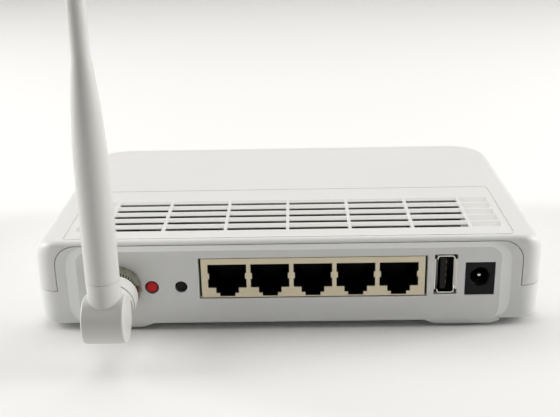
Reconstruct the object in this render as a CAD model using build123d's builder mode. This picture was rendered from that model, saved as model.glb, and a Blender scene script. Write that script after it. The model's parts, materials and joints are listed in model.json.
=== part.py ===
from build123d import *
import math
import os

os.makedirs("parts", exist_ok=True)

# A desk router. Z = 0 is the table, the sockets face -Y and the origin is under
# the middle of the whole object, antenna included. Millimetres.

# ---------------------------------------------------------------- case sizes
CASE_WIDTH = 166.8
CASE_DEPTH = 116.0
CASE_TOP = 31.5
CASE_UNDERSIDE = 2.0
WALL = 2.0
ROOF = 1.6
FLOOR = 2.0
SHOULDER_RADIUS = 6.4
REAR_EDGE_RADIUS = 2.2
NOSE_RADIUS = 16.2
BASE_RADIUS = 1.2
REAR_CORNER = 7.0
FRONT_CORNER = 20.0

# The rear panel stands up from the bottom shell into a gap of the top cover.
SEAM_HEIGHT = 14.0
SEAM_GAP = 0.25
PANEL_HALF_WIDTH = 76.0
PANEL_TOP = 29.8
PANEL_CORNER = 6.8

# The socket plate is the raised middle of the rear panel, with sloping edges.
PLATE_RISE = 1.2
PLATE_HALF_WIDTH = 68.9
PLATE_SLOPE = 3.7
PLATE_TOP_SLOPE = 1.4
PLATE_BASE_SLOPE = 0.7
PLATE_CORNER = 4.0

# Vent field on the roof, measured forwards from the rear face. Each groove has a level
# floor and a ramp up to the next rib; bars cross the grooves and the slots in them.
VENT_ROWS = 5
VENT_PITCH = 5.85
VENT_FIRST = 10.0
VENT_SLOT = 3.5
VENT_FLOOR = 2.6
VENT_RIB = 1.1
VENT_DEPTH = 1.0
VENT_SLAT = 0.85
VENT_COLUMN = 20.7
VENT_INNER_BARS = 2
VENT_BAR = 1.0
VENT_SLOT_REACH = 60.5
VENT_BAND_REACH = 71.0
FIELD_HALF_WIDTH = 73.5
FIELD_REAR = 3.3
FIELD_FRONT = 49.9
FIELD_CORNER = 2.0
LINE_WIDTH = 0.45
LINE_DEPTH = 0.35

# Two low rails run under the bottom shell and carry the rubber feet.
RAIL_X = 57.5
RAIL_WIDTH = 18.5
RAIL_RAMP = 2.8
RAIL_DROP = 1.05
RAIL_END = 12.0
FOOT_X = 61.2
FOOT_RADIUS = 5.3
FOOT_SEAT = 0.6
FOOT_FIT = 0.1
FOOT_BEVEL = 0.6

# Case screws, hidden by the feet, go up into posts of the top cover.
POST_X = 63.3
POST_REAR = 26.0
POST_FRONT = 92.0
POST_RADIUS = 3.2
BOSS_RADIUS = 4.6
BOSS_TOP = 8.5
CASE_SCREW_RADIUS = 1.4
CASE_SCREW_REACH = 8.0
CASE_HEAD_RADIUS = 2.8
CASE_HEAD_HEIGHT = 1.9
HEAD_FIT = 0.3
THREAD_FIT = 0.05
SCREW_SPARE = 1.0
DRIVE_SLOT = 0.6
DRIVE_DEPTH = 0.8

# Wall keyholes in the floor between the rails.
KEYHOLE_SPACING = 70.0
KEYHOLE_ENTRY = 4.0
KEYHOLE_SLOT = 2.1
KEYHOLE_TRAVEL = 7.0
KEYHOLE_FORWARD = 70.0

# Indicator window in the nose and the guide behind it.
WINDOW_WIDTH = 60.0
WINDOW_LOW = 17.5
WINDOW_HIGH = 23.0
WINDOW_FIT = 0.15
LED_COUNT = 8
LED_PITCH = 7.0
LED_LENGTH = 1.6
LED_WIDTH = 0.8
LED_HEIGHT = 0.7
LED_FORWARD = 94.0
GUIDE_SIZE = 2.0
GUIDE_HEIGHT = 20.3
GUIDE_FIT = 0.3
GUIDE_PEG_X = 31.0
GUIDE_BAR_FORWARD = 100.0

# ------------------------------------------------------------- circuit board
BOARD_WIDTH = 144.0
BOARD_DEPTH = 95.0
BOARD_FORWARD = 3.6
BOARD_TOP = 11.7
BOARD_THICKNESS = 1.6
BOARD_CORNER = 2.0
BOARD_POST_FIT = 0.7
STANDOFF_RADIUS = 3.0
BOARD_SCREW_RADIUS = 1.2
BOARD_SCREW_LENGTH = 6.0
BOARD_HEAD_RADIUS = 2.4
BOARD_HEAD_HEIGHT = 1.6
BOARD_HOLE_RADIUS = 1.4
BOARD_SCREW_PLACES = ((-65.0, 52.0), (65.0, 52.0), (-24.0, 88.0), (24.0, 88.0))

# --------------------------------------------------------- board electronics
# Each block: x, distance in front of the rear face, width, length and height.
PROCESSOR = (-2.0, 56.0, 22.0, 22.0, 1.6)
MEMORY = (27.0, 56.0, 22.2, 10.2, 1.1)
FLASH = (27.0, 74.0, 18.4, 12.0, 1.1)
RADIO_CAN = (-42.0, 52.0, 30.0, 32.0, 3.2)
RADIO_CHIP = (-42.0, 52.0, 9.0, 9.0, 1.0)
CAN_SHEET = 0.3
REGULATOR = (55.0, 42.0, 10.0, 9.2, 2.3)
TRANSFORMERS = ((2.0, 29.0, 28.0, 10.5, 5.6), (36.5, 29.0, 12.8, 9.4, 5.6))
INDUCTOR = (40.0, 42.0, 8.0, 8.0, 4.5)
CRYSTAL = (-26.0, 75.0, 11.4, 4.7, 3.6)
FUSE = (51.0, 22.0, 4.5, 3.2, 1.2)
TALL_CAPACITORS = ((53.0, 54.0), (53.0, 66.0), (53.0, 78.0), (40.0, 88.0))
TALL_CAPACITOR_RADIUS = 4.0
TALL_CAPACITOR_HEIGHT = 11.5
CAPACITOR_GROOVE = 0.35
SMALL_PART = (1.6, 0.8, 0.6)
CAPACITOR_GRID = ((-2.0, 76.0), 8, 2, 3.4)
RESISTOR_GRID = ((-2.0, 39.5), 9, 2, 3.0)
CHIP_LEG = 0.3
CHIP_LEG_PITCH = 0.8
CHIP_LEG_REACH = 1.2
CHIP_LEG_HEIGHT = 0.45

# ----------------------------------------------------------- network sockets
PORT_COUNT = 5
PORT_PITCH = 13.97
PORT_ROW_X = 8.06
PORT_ROW_WIDTH = 72.7
PORT_ROW_HEIGHT = 13.7
PORT_ROW_DEPTH = 18.5
PORT_SETBACK = 0.2
SHIELD_SHEET = 0.3
SHIELD_FIT = 0.05
PORT_TOP_BAND = 2.0
PORT_WIDTH = 12.6
PORT_HEIGHT = 8.3
LATCH_WIDTH = 7.45
LATCH_HEIGHT = 1.9
LATCH_TIP_WIDTH = 5.0
LATCH_TIP_HEIGHT = 1.15
PORT_LINING = 0.2
PORT_CAVITY = 13.5
SHIELD_TAB_HEIGHT = 1.95
SHIELD_TAB_REACH = 0.45
PORT_CUTOUT_SIDE = 0.8
PORT_CUTOUT_TOP = 0.35
WIRE_COUNT = 8
WIRE_PITCH = 1.02
WIRE_WIDTH = 0.4
WIRE_THICKNESS = 0.35
WIRE_FRONT = 2.2
WIRE_BEND = 9.5
WIRE_FIT = 0.1
WIRE_DROP = 1.9

# ---------------------------------------------------------------- USB socket
USB_X = 51.12
USB_Z = 19.0
USB_WIDTH = 5.7
USB_HEIGHT = 13.1
USB_DEPTH = 14.0
USB_SHEET = 0.3
USB_CORNER = 1.0
USB_SETBACK = 0.1
USB_LIP = 0.8
USB_LIP_LENGTH = 10.6
USB_CUTOUT_WIDTH = 7.5
USB_CUTOUT_HEIGHT = 14.1
USB_LEG = 1.0
USB_BLOCK = 4.5
USB_TONGUE = 1.85
USB_TONGUE_HEIGHT = 11.1
USB_TONGUE_SHIFT = 0.75
USB_TONGUE_SETBACK = 1.0
USB_CONTACT_COUNT = 4
USB_CONTACT_PITCH = 2.3
USB_CONTACT_WIDTH = 1.0
USB_CONTACT_THICKNESS = 0.25
USB_CONTACT_REACH = 7.5

# --------------------------------------------------------------- power inlet
INLET_X = 62.2
INLET_WIDTH = 9.4
INLET_HEIGHT = 11.3
INLET_DEPTH = 14.2
INLET_SETBACK = 0.1
INLET_FIT = 0.15
INLET_BORE = 3.0
INLET_BORE_Z = 18.0
INLET_BORE_DEPTH = 9.5
INLET_PIN = 0.85
INLET_PIN_DOME = 0.75
INLET_PIN_SETBACK = 1.2
INLET_BORE_BEVEL = 0.4
SPRING_WIDTH = 2.0
SPRING_THICKNESS = 0.3
SPRING_FRONT = 3.0
SPRING_LIFT = 0.35

# ------------------------------------------------------------------- buttons
BUTTON_Z = 15.7
SETUP_X = -44.6
SETUP_RADIUS = 2.1
SETUP_TRAVEL = 0.8
SETUP_SETBACK = 0.2
RESET_X = -35.0
RESET_RADIUS = 1.85
RESET_TRAVEL = 0.5
RESET_SETBACK = 0.7
BUTTON_FIT = 0.2
BUTTON_DOME = 0.5
SWITCH_WIDTH = 6.6
SWITCH_DEPTH = 6.2
SWITCH_HEIGHT = 7.6
SWITCH_FORWARD = 5.2
STEM_RADIUS = 1.2
STEM_LENGTH = 3.2
STEM_FIT = 0.05
BUTTON_REST_GAP = 0.3

# ------------------------------------------------------------------- antenna
ANTENNA_X = -55.2
ANTENNA_Z = 16.0
SOCKET_BLOCK = 8.0
SOCKET_BLOCK_FORWARD = 2.4
SOCKET_THREAD_RADIUS = 3.175
SOCKET_REACH = 4.6
SOCKET_BORE = 2.35
SOCKET_INSULATOR_REACH = 1.4
SOCKET_INSULATOR_LENGTH = 5.0
SOCKET_PIN = 0.46
SOCKET_PIN_REACH = 3.4
PANEL_HOLE_FIT = 0.3
ROUND_FIT = 0.05
NUT_RADIUS = 7.3
NUT_START = 0.3
NUT_END = 6.5
NUT_FLANGE = 1.1
NUT_SKIRT_BORE = 5.9
NUT_SKIRT_DEPTH = 2.6
NUT_KNURLS = 48
NUT_KNURL_DEPTH = 0.35
NUT_KNURL_LENGTH = 1.6
PLUG_SHOULDER_RADIUS = 3.0
PLUG_SHOULDER = 0.7
PLUG_SHAFT = 2.5
PLUG_SHAFT_END = 10.5
PLUG_TUBE = 2.25
PLUG_TUBE_WALL = 0.65
PLUG_TUBE_START = 1.9
PLUG_CONTACT = 0.85
PLUG_CONTACT_BORE = 0.5
COLLAR_RADIUS = 7.2
COLLAR_FIT = 0.3
COLLAR_END = 16.2
COLLAR_GROOVE = 13.2
COLLAR_GROOVE_WIDTH = 0.6
COLLAR_GROOVE_DEPTH = 0.45
COLLAR_LIP_RADIUS = 6.85
HINGE_REACH = 22.3
BARREL_RADIUS = 7.5
BARREL_WIDTH = 12.9
BARREL_BEVEL = 0.7
BARREL_FIT = 0.35
EAR_THICKNESS = 4.4
EAR_RADIUS = 4.4
EAR_WEB = 6.8
EAR_FIT = 0.35
HINGE_PIN_RADIUS = 1.5
HINGE_PIN_END = 1.0
ROD_RADIUS = 5.1
ROD_JOINT = 13.2
ROD_JOINT_GAP = 0.05
ROD_JOINT_BEVEL = 0.06
SPIGOT_RADIUS = 3.4
SPIGOT_LENGTH = 6.0
TAPER_START = 44.0
TAPER_END = 76.5
TAPER_END_RADIUS = 3.15
WHIP_START = 79.8
WHIP_RADIUS = 2.75
WHIP_TIP_RADIUS = 2.6
BLADE_LENGTH = 170.0
BLADE_CORE = 2.3
BLADE_CORE_END = 72.0
FEED_RADIUS = 0.9
FEED_START = 6.0
FEED_END = 148.0
CHOKE_START = 40.0
CHOKE_LENGTH = 24.0

# ---------------------------------------------------------- derived positions
REAR_Y = (HINGE_REACH + BARREL_RADIUS - CASE_DEPTH) / 2
FRONT_Y = REAR_Y + CASE_DEPTH
HINGE_Y = REAR_Y - HINGE_REACH
FLOOR_TOP = CASE_UNDERSIDE + FLOOR
ROOF_UNDERSIDE = CASE_TOP - ROOF
RAIL_BOTTOM = CASE_UNDERSIDE - RAIL_DROP
FOOT_TOP = RAIL_BOTTOM + FOOT_SEAT
CASE_HEAD_SEAT = FOOT_TOP + CASE_HEAD_HEIGHT
BOARD_UNDERSIDE = BOARD_TOP - BOARD_THICKNESS
BOARD_REAR_Y = REAR_Y + BOARD_FORWARD
PORT_FACE_Y = REAR_Y + PORT_SETBACK
USB_FACE_Y = REAR_Y + USB_SETBACK
INLET_FACE_Y = REAR_Y + INLET_SETBACK
POST_PLACES = [(side * POST_X, REAR_Y + row) for side in (-1, 1) for row in (POST_REAR, POST_FRONT)]
FOOT_PLACES = [(side * FOOT_X, REAR_Y + row) for side in (-1, 1) for row in (POST_REAR, POST_FRONT)]
BOARD_SCREW_POINTS = [(x, REAR_Y + forward) for x, forward in BOARD_SCREW_PLACES]
PORT_XS = [PORT_ROW_X + (i - (PORT_COUNT - 1) / 2) * PORT_PITCH for i in range(PORT_COUNT)]
SLIVER_RADIUS = 0.2
PAST = 1.0


# -------------------------------------------------------------------- helpers
def middle(span):
    return (span[0] + span[1]) / 2


def around(centre, size):
    """The two ends of a length centred on a point."""
    return (centre - size / 2, centre + size / 2)


def facing_rear(y):
    """Plane across the case at y: local x is +X, local y is +Z, normal is -Y."""
    return Plane(origin=(0, y, 0), x_dir=(1, 0, 0), z_dir=(0, -1, 0))


def facing_side(x):
    """Plane along the case at x: local x is +Y, local y is +Z, normal is +X."""
    return Plane(origin=(x, 0, 0), x_dir=(0, 1, 0), z_dir=(1, 0, 0))


def slab(x_span, y_span, z_span, mode=Mode.ADD):
    """Box between three pairs of coordinates, in the part being built."""
    with BuildSketch(Plane.XY.offset(z_span[0])) as base:
        with Locations((middle(x_span), middle(y_span))):
            Rectangle(x_span[1] - x_span[0], y_span[1] - y_span[0])
    extrude(base.sketch, amount=z_span[1] - z_span[0], mode=mode)


def upright(points, radius, z_span, mode=Mode.ADD):
    """Upright cylinders at several places, in the part being built."""
    with BuildSketch(Plane.XY.offset(z_span[0])) as base:
        with Locations(*points):
            Circle(radius)
    extrude(base.sketch, amount=z_span[1] - z_span[0], mode=mode)


def rod_along_y(x, z, radius, y_span, mode=Mode.ADD):
    """Cylinder along Y between two y coordinates, in the part being built."""
    with BuildSketch(facing_rear(y_span[1])) as base:
        with Locations((x, z)):
            Circle(radius)
    extrude(base.sketch, amount=y_span[1] - y_span[0], mode=mode)


def rod_along_x(y, z, radius, x_span, mode=Mode.ADD):
    """Cylinder along X between two x coordinates, in the part being built."""
    with BuildSketch(facing_side(x_span[0])) as base:
        with Locations((y, z)):
            Circle(radius)
    extrude(base.sketch, amount=x_span[1] - x_span[0], mode=mode)


def antenna_axis(reach_span):
    """The y span of a piece on the connector axis, from its reach behind the rear face."""
    return (REAR_Y - reach_span[1], REAR_Y - reach_span[0])


# ------------------------------------------------------------ case outer form
def edge_lean(depth, radius):
    """How far a wall has leaned in at a depth below the top of its rounded edge."""
    short = max(radius - depth, 0.0)
    return radius - math.sqrt(radius**2 - short**2)


def case_section(z, top, inset):
    """Plan outline of the case at height z, inset from the outer skin."""
    depth = top - z
    side = inset + edge_lean(depth, SHOULDER_RADIUS - inset)
    rear_edge = max(REAR_EDGE_RADIUS - inset, SLIVER_RADIUS)
    rear = PLATE_RISE + inset + edge_lean(depth, rear_edge)
    nose = inset + edge_lean(depth, NOSE_RADIUS - inset)
    length = CASE_DEPTH - rear - nose
    with BuildSketch(Plane.XY.offset(z)) as section:
        with Locations((0, REAR_Y + rear + length / 2)):
            Rectangle(CASE_WIDTH - 2 * side, length)
        rear_corner = REAR_CORNER - (side + rear - PLATE_RISE) / 2
        fillet(section.vertices().group_by(Axis.Y)[0], rear_corner)
        fillet(section.vertices().group_by(Axis.Y)[-1], FRONT_CORNER - (side + nose) / 2)
    return section.sketch


def case_form(bottom, top, inset):
    """Closed form of the case between two heights, inset from its outer skin."""
    nose_radius = NOSE_RADIUS - inset
    steps = (1.0, 0.86, 0.66, 0.48, 0.36, 0.24, 0.15, 0.09, 0.045, 0.014, 0.0)
    levels = [top - step * nose_radius for step in steps]
    with BuildPart() as form:
        extrude(case_section(levels[0], top, inset), amount=levels[0] - bottom, dir=(0, 0, -1))
        base_edges = form.faces().sort_by(Axis.Z)[0].edges()
        fillet(base_edges, max(BASE_RADIUS - inset, SLIVER_RADIUS))
        loft([case_section(level, top, inset) for level in levels])
    return form.part


def lower_zone(gap):
    """Space of the bottom shell: all below the seam, and the rear panel's outline above it."""
    with BuildPart() as zone:
        slab(around(0, 2 * CASE_WIDTH), around(0, 4 * CASE_DEPTH), (-PAST, SEAM_HEIGHT + gap))
        with BuildSketch(facing_rear(REAR_Y + WALL + 2 * PAST)) as panel:
            with Locations((0, (PANEL_TOP + gap) / 2)):
                Rectangle(2 * (PANEL_HALF_WIDTH + gap), PANEL_TOP + gap)
            fillet(panel.vertices().group_by(Axis.Y)[-1], PANEL_CORNER + gap)
        extrude(amount=WALL + 4 * PAST)
    return zone.part


def plate_outline(y, grow):
    """Outline of the socket plate at y; grow is 0 on its face and 1 where its slopes end."""
    low = CASE_UNDERSIDE + (1 - grow) * PLATE_BASE_SLOPE
    high = PANEL_TOP - (1 - grow) * PLATE_TOP_SLOPE
    half = PLATE_HALF_WIDTH + grow * PLATE_SLOPE
    with BuildSketch(facing_rear(y)) as outline:
        with Locations((0, middle((low, high)))):
            Rectangle(2 * half, high - low)
        top_corners = outline.vertices().group_by(Axis.Z)[-1]
        fillet(top_corners, PLATE_CORNER + grow * (PANEL_CORNER - PLATE_CORNER))
    return outline.sketch


with BuildPart() as case_wall:
    add(case_form(CASE_UNDERSIDE, CASE_TOP, 0.0))
    add(case_form(FLOOR_TOP, ROOF_UNDERSIDE, WALL), mode=Mode.SUBTRACT)


# ----------------------------------------------------------------- top cover
def vent_rear(row):
    """Where a row's groove and slot begin, at the side of the sockets."""
    return REAR_Y + VENT_FIRST + row * VENT_PITCH


def vent_grooves(x):
    """Side profile of the vent grooves: a wall, a floor and a ramp up to the next rib."""
    low = CASE_TOP - VENT_DEPTH
    with BuildSketch(facing_side(x)) as grooves:
        for row in range(VENT_ROWS):
            rear = vent_rear(row)
            ramp_front = rear + VENT_PITCH - VENT_RIB
            Polygon(
                (rear, CASE_TOP + PAST),
                (rear, low),
                (rear + VENT_FLOOR, low),
                (ramp_front, CASE_TOP),
                (ramp_front, CASE_TOP + PAST),
                align=None,
            )
    return grooves.sketch


def between_bars(lines):
    """The x spans left between bars that stand on a row of lines."""
    return [(a + VENT_BAR / 2, b - VENT_BAR / 2) for a, b in zip(lines, lines[1:])]


def vent_cuts():
    """All that the vents take out of the roof: grooves, through slots and thinned slats."""
    inner = [n * VENT_COLUMN for n in range(-VENT_INNER_BARS, VENT_INNER_BARS + 1)]
    slotted = between_bars([-VENT_SLOT_REACH, *inner, VENT_SLOT_REACH])
    closed_start = VENT_SLOT_REACH + VENT_BAR / 2
    closed = [(-VENT_BAND_REACH, -closed_start), (closed_start, VENT_BAND_REACH)]
    thinned_y = (vent_rear(0), vent_rear(VENT_ROWS) - VENT_RIB)
    with BuildPart() as cuts:
        for span in slotted:
            slab(span, thinned_y, (ROOF_UNDERSIDE - PAST, CASE_TOP - VENT_SLAT))
            for row in range(VENT_ROWS):
                slot_y = (vent_rear(row), vent_rear(row) + VENT_SLOT)
                slab(span, slot_y, (ROOF_UNDERSIDE, CASE_TOP))
        for span in slotted + closed:
            extrude(vent_grooves(span[0]), amount=span[1] - span[0])
    return cuts.part


def field_line():
    """Fine line that frames the vent field."""
    length = FIELD_FRONT - FIELD_REAR
    with BuildSketch(Plane.XY.offset(CASE_TOP)) as line:
        with Locations((0, REAR_Y + FIELD_REAR + length / 2)):
            RectangleRounded(2 * FIELD_HALF_WIDTH, length, FIELD_CORNER)
            RectangleRounded(
                2 * (FIELD_HALF_WIDTH - LINE_WIDTH),
                length - 2 * LINE_WIDTH,
                FIELD_CORNER - LINE_WIDTH,
                mode=Mode.SUBTRACT,
            )
    return line.sketch


window_span = (around(0, WINDOW_WIDTH), (FRONT_Y - NOSE_RADIUS / 2, FRONT_Y + PAST))

with BuildPart() as top_cover:
    add(case_wall.part)
    add(lower_zone(SEAM_GAP), mode=Mode.SUBTRACT)
    upright(POST_PLACES, POST_RADIUS, (BOSS_TOP, ROOF_UNDERSIDE))
    pilot_top = BOSS_TOP + CASE_SCREW_REACH + SCREW_SPARE
    upright(POST_PLACES, CASE_SCREW_RADIUS + THREAD_FIT, (BOSS_TOP, pilot_top), Mode.SUBTRACT)
    add(vent_cuts(), mode=Mode.SUBTRACT)
    extrude(field_line(), amount=-LINE_DEPTH, mode=Mode.SUBTRACT)
    slab(
        around(0, WINDOW_WIDTH + 2 * WINDOW_FIT),
        window_span[1],
        (WINDOW_LOW - WINDOW_FIT, WINDOW_HIGH + WINDOW_FIT),
        Mode.SUBTRACT,
    )
top_cover.part.label = "top_cover"
export_step(top_cover.part, "parts/top_cover.step")

with BuildPart() as indicator_window:
    add(case_wall.part)
    slab(window_span[0], window_span[1], (WINDOW_LOW, WINDOW_HIGH), Mode.INTERSECT)
indicator_window.part.label = "indicator_window"
export_step(indicator_window.part, "parts/indicator_window.step")


# -------------------------------------------------------------- bottom shell
def rail_profile(side):
    """End profile of an underside rail, with ramps up to the floor at both sides."""
    half = RAIL_WIDTH / 2
    with BuildSketch(facing_rear(FRONT_Y - RAIL_END)) as profile:
        Polygon(
            (side * RAIL_X - half - RAIL_RAMP, CASE_UNDERSIDE + PAST),
            (side * RAIL_X - half - RAIL_RAMP, CASE_UNDERSIDE),
            (side * RAIL_X - half, RAIL_BOTTOM),
            (side * RAIL_X + half, RAIL_BOTTOM),
            (side * RAIL_X + half + RAIL_RAMP, CASE_UNDERSIDE),
            (side * RAIL_X + half + RAIL_RAMP, CASE_UNDERSIDE + PAST),
            align=None,
        )
    return profile.sketch


def panel_openings():
    """Cut-outs of the rear panel for the sockets, the buttons and the antenna socket."""
    row_top = BOARD_TOP + PORT_ROW_HEIGHT
    inlet_middle = BOARD_TOP + INLET_HEIGHT / 2
    with BuildSketch(facing_rear(REAR_Y + WALL + PAST)) as openings:
        with Locations((PORT_ROW_X, middle((BOARD_TOP, row_top)))):
            Rectangle(
                PORT_ROW_WIDTH + 2 * PORT_CUTOUT_SIDE,
                PORT_ROW_HEIGHT + 2 * PORT_CUTOUT_TOP,
            )
        with Locations((USB_X, USB_Z)):
            Rectangle(USB_CUTOUT_WIDTH, USB_CUTOUT_HEIGHT)
        with Locations((INLET_X, inlet_middle)):
            Rectangle(INLET_WIDTH + 2 * INLET_FIT, INLET_HEIGHT + 2 * INLET_FIT)
        with Locations((SETUP_X, BUTTON_Z)):
            Circle(SETUP_RADIUS + BUTTON_FIT)
        with Locations((RESET_X, BUTTON_Z)):
            Circle(RESET_RADIUS + BUTTON_FIT)
        with Locations((ANTENNA_X, ANTENNA_Z)):
            Circle(SOCKET_THREAD_RADIUS + PANEL_HOLE_FIT)
    return openings.sketch


def keyholes():
    """Two wall-hanging keyholes: a round entry and a slot for the screw's neck."""
    with BuildSketch(Plane.XY) as holes:
        for side in (-1, 1):
            x = side * KEYHOLE_SPACING / 2
            y = REAR_Y + KEYHOLE_FORWARD
            with Locations((x, y)):
                Circle(KEYHOLE_ENTRY)
            with Locations((x, y - KEYHOLE_TRAVEL / 2)):
                Rectangle(2 * KEYHOLE_SLOT, KEYHOLE_TRAVEL)
            with Locations((x, y - KEYHOLE_TRAVEL)):
                Circle(KEYHOLE_SLOT)
    return holes.sketch


with BuildPart() as bottom_shell:
    add(case_wall.part)
    add(lower_zone(0.0), mode=Mode.INTERSECT)
    plate_back_y = REAR_Y + PLATE_RISE
    loft([plate_outline(plate_back_y, 1), plate_outline(REAR_Y, 0)])
    extrude(plate_outline(plate_back_y + WALL / 2, 1), amount=WALL / 2)
    slab(
        around(0, 2 * (PLATE_HALF_WIDTH - WALL)),
        (REAR_Y + WALL, plate_back_y + WALL + PAST),
        (FLOOR_TOP, PANEL_TOP - PLATE_TOP_SLOPE - WALL),
        Mode.SUBTRACT,
    )
    rail_length = CASE_DEPTH - RAIL_END
    for side in (-1, 1):
        extrude(rail_profile(side), amount=rail_length - BASE_RADIUS / 2)
    upright(POST_PLACES, BOSS_RADIUS, (FLOOR_TOP - FLOOR / 2, BOSS_TOP))
    upright(BOARD_SCREW_POINTS, STANDOFF_RADIUS, (FLOOR_TOP - FLOOR / 2, BOARD_UNDERSIDE))
    upright(FOOT_PLACES, FOOT_RADIUS + FOOT_FIT, (0, FOOT_TOP), Mode.SUBTRACT)
    upright(POST_PLACES, CASE_HEAD_RADIUS + HEAD_FIT, (0, CASE_HEAD_SEAT), Mode.SUBTRACT)
    upright(POST_PLACES, CASE_SCREW_RADIUS + THREAD_FIT, (0, BOSS_TOP), Mode.SUBTRACT)
    standoff_hole = (BOARD_TOP - BOARD_SCREW_LENGTH - SCREW_SPARE, BOARD_UNDERSIDE)
    upright(BOARD_SCREW_POINTS, BOARD_SCREW_RADIUS + THREAD_FIT, standoff_hole, Mode.SUBTRACT)
    extrude(panel_openings(), amount=WALL + 2 * PAST, mode=Mode.SUBTRACT)
    extrude(keyholes(), amount=FLOOR_TOP + PAST, mode=Mode.SUBTRACT)
bottom_shell.part.label = "bottom_shell"
export_step(bottom_shell.part, "parts/bottom_shell.step")

with BuildPart() as rubber_feet:
    upright(FOOT_PLACES, FOOT_RADIUS, (0, FOOT_TOP))
    ground_edges = rubber_feet.edges().filter_by(GeomType.CIRCLE).group_by(Axis.Z)[0]
    chamfer(ground_edges, FOOT_BEVEL)
rubber_feet.part.label = "rubber_feet"
export_step(rubber_feet.part, "parts/rubber_feet.step")


def cross_slots(points, z_span, reach):
    """Cross-shaped driver recesses, cut from the part being built."""
    for x, y in points:
        slab(around(x, DRIVE_SLOT), around(y, reach), z_span, Mode.SUBTRACT)
        slab(around(x, reach), around(y, DRIVE_SLOT), z_span, Mode.SUBTRACT)


with BuildPart() as case_screws:
    upright(POST_PLACES, CASE_HEAD_RADIUS, (FOOT_TOP, CASE_HEAD_SEAT))
    upright(POST_PLACES, CASE_SCREW_RADIUS, (CASE_HEAD_SEAT, BOSS_TOP + CASE_SCREW_REACH))
    cross_slots(POST_PLACES, (FOOT_TOP, FOOT_TOP + DRIVE_DEPTH), CASE_HEAD_RADIUS)
case_screws.part.label = "case_screws"
export_step(case_screws.part, "parts/case_screws.step")

# ------------------------------------------------------------- circuit board
with BuildPart() as circuit_board:
    with BuildSketch(Plane.XY.offset(BOARD_UNDERSIDE)):
        with Locations((0, BOARD_REAR_Y + BOARD_DEPTH / 2)):
            RectangleRounded(BOARD_WIDTH, BOARD_DEPTH, BOARD_CORNER)
        with Locations(*POST_PLACES):
            Circle(POST_RADIUS + BOARD_POST_FIT, mode=Mode.SUBTRACT)
        with Locations(*BOARD_SCREW_POINTS):
            Circle(BOARD_HOLE_RADIUS, mode=Mode.SUBTRACT)
    extrude(amount=BOARD_THICKNESS)
circuit_board.part.label = "circuit_board"
export_step(circuit_board.part, "parts/circuit_board.step")

with BuildPart() as board_screws:
    screw_head = (BOARD_TOP, BOARD_TOP + BOARD_HEAD_HEIGHT)
    upright(BOARD_SCREW_POINTS, BOARD_HEAD_RADIUS, screw_head)
    upright(BOARD_SCREW_POINTS, BOARD_SCREW_RADIUS, (BOARD_TOP - BOARD_SCREW_LENGTH, BOARD_TOP))
    cross_slots(BOARD_SCREW_POINTS, (screw_head[1] - DRIVE_DEPTH, screw_head[1]), BOARD_HEAD_RADIUS)
board_screws.part.label = "board_screws"
export_step(board_screws.part, "parts/board_screws.step")


# ----------------------------------------------------------- network sockets
def port_outline(y, trim):
    """The stepped mouth of every socket, latch side down, trimmed all round by an amount."""
    top = BOARD_TOP + PORT_ROW_HEIGHT - PORT_TOP_BAND
    sill = top - PORT_HEIGHT
    steps = (
        (PORT_WIDTH, top, sill),
        (LATCH_WIDTH, sill + PAST, sill - LATCH_HEIGHT),
        (LATCH_TIP_WIDTH, sill, sill - LATCH_HEIGHT - LATCH_TIP_HEIGHT),
    )
    with BuildSketch(facing_rear(y)) as outline:
        for x in PORT_XS:
            for width, high, low in steps:
                with Locations((x, (high + low) / 2)):
                    Rectangle(width - 2 * trim, high - low - 2 * trim)
    return outline.sketch


port_row = around(PORT_ROW_X, PORT_ROW_WIDTH)
port_row_top = BOARD_TOP + PORT_ROW_HEIGHT
port_cavity_y = PORT_FACE_Y + PORT_CAVITY
port_ceiling = port_row_top - PORT_TOP_BAND - PORT_LINING

with BuildPart() as port_shield:
    slab(port_row, (PORT_FACE_Y, PORT_FACE_Y + PORT_ROW_DEPTH), (BOARD_TOP, port_row_top))
    slab(
        (port_row[0] + SHIELD_SHEET, port_row[1] - SHIELD_SHEET),
        (PORT_FACE_Y + SHIELD_SHEET, PORT_FACE_Y + PORT_ROW_DEPTH - SHIELD_SHEET),
        (BOARD_TOP, port_row_top - SHIELD_SHEET),
        Mode.SUBTRACT,
    )
    face_back = PORT_FACE_Y + SHIELD_SHEET
    extrude(port_outline(face_back, 0.0), amount=2 * SHIELD_SHEET, mode=Mode.SUBTRACT)
    tab_z = around(port_row_top - PORT_TOP_BAND - PORT_HEIGHT / 2, SHIELD_TAB_HEIGHT)
    for x in PORT_XS:
        for side in (-1, 1):
            edge = x + side * PORT_WIDTH / 2
            tab_x = sorted((edge, edge - side * SHIELD_TAB_REACH))
            slab(tab_x, (PORT_FACE_Y, face_back), tab_z)
port_shield.part.label = "port_shield"
export_step(port_shield.part, "parts/port_shield.step")

with BuildPart() as port_housing:
    skin = SHIELD_SHEET + SHIELD_FIT
    housing_y = (PORT_FACE_Y + skin, PORT_FACE_Y + PORT_ROW_DEPTH - skin)
    slab((port_row[0] + skin, port_row[1] - skin), housing_y, (BOARD_TOP, port_row_top - skin))
    cavity_depth = port_cavity_y - housing_y[0]
    extrude(port_outline(port_cavity_y, PORT_LINING), amount=cavity_depth, mode=Mode.SUBTRACT)
port_housing.part.label = "port_housing"
export_step(port_housing.part, "parts/port_housing.step")


def wire_profile(x):
    """Side view of one spring wire, sloping down from the mouth of a socket to its back."""
    high = port_ceiling - WIRE_FIT
    low = high - WIRE_DROP
    front = PORT_FACE_Y + WIRE_FRONT
    bend = PORT_FACE_Y + WIRE_BEND
    with BuildSketch(facing_side(x - WIRE_WIDTH / 2)) as profile:
        Polygon(
            (front, high),
            (bend, low),
            (port_cavity_y, low),
            (port_cavity_y, low - WIRE_THICKNESS),
            (bend, low - WIRE_THICKNESS),
            (front, high - WIRE_THICKNESS),
            align=None,
        )
    return profile.sketch


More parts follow.
